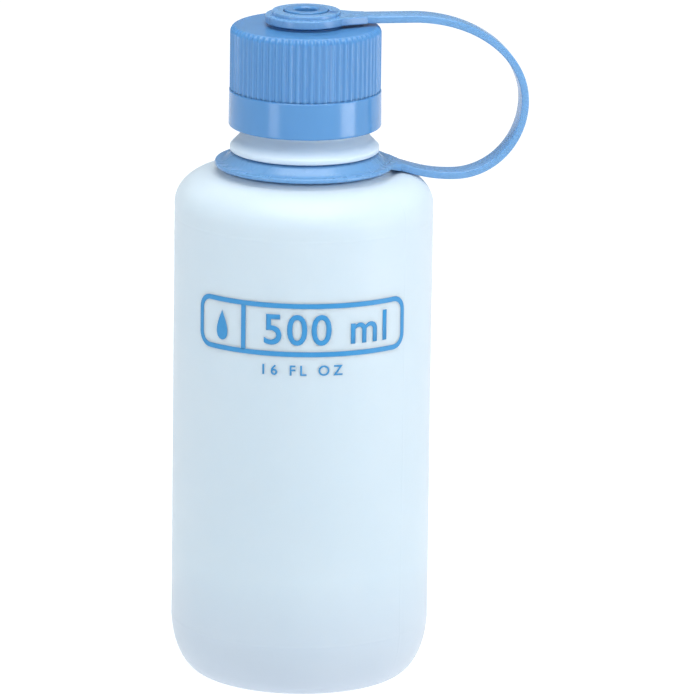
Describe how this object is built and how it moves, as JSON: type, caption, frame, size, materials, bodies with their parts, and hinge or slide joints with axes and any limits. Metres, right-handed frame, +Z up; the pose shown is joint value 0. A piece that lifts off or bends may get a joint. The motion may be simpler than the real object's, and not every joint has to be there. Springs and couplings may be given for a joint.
{
  "type": "narrow-mouth bottle",
  "caption": "Round translucent laboratory bottle with a ribbed screw cap held captive by a strap loop from the cap to a ring round the neck.",
  "frame": {"origin": "on the bottle's axis, in the plane of its foot ring", "axes": "+Z up along the bottle's axis, +X from the axis towards the tether's loop"},
  "size_m": [0.0996, 0.073, 0.1915],
  "materials": {
    "bottle_plastic": "satin, milky translucent",
    "cap_plastic": "satin moulded",
    "tether_plastic": "satin moulded, slightly translucent",
    "print_ink": "screen print"
  },
  "bodies": {
    "bottle": {"bottle": "bottle_plastic"},
    "neck_ring": {"neck_ring": "tether_plastic"},
    "strap_lower": {"strap_lower": "tether_plastic"},
    "strap_upper": {"strap_upper": "tether_plastic"},
    "tether_hub": {"tether_hub": "tether_plastic"},
    "cap": {"cap": "cap_plastic"}
  },
  "joints": [
    {"name": "ring_swivel", "type": "hinge", "parent": "bottle", "child": "neck_ring", "pos_m": [0, 0, 0.1475], "axis": [0, 0, 1], "range_deg": [-30, 30]},
    {"name": "strap_root_bend", "type": "hinge", "parent": "neck_ring", "child": "strap_lower", "pos_m": [0.0275, 0, 0.14617], "axis": [0, -1, 0], "range_deg": [0, 26.4]},
    {"name": "strap_middle_bend", "type": "hinge", "parent": "strap_lower", "child": "strap_upper", "pos_m": [0.06183, 0, 0.16744], "axis": [0, -1, 0], "range_deg": [-52.8, 0]},
    {"name": "strap_hub_bend", "type": "hinge", "parent": "strap_upper", "child": "tether_hub", "pos_m": [0.0275, 0, 0.1887], "axis": [0, -1, 0], "range_deg": [0, 26.4]},
    {"name": "cap_turn", "type": "hinge", "parent": "tether_hub", "child": "cap", "pos_m": [0, 0, 0.1868], "axis": [0, 0, 1], "range_deg": [0, 2592]}
  ],
  "couplings": [
    {"joint": "strap_root_bend", "follows": "cap_turn", "ratio": 0.01015},
    {"joint": "strap_middle_bend", "follows": "cap_turn", "ratio": -0.0203},
    {"joint": "strap_hub_bend", "follows": "cap_turn", "ratio": 0.01015}
  ]
}
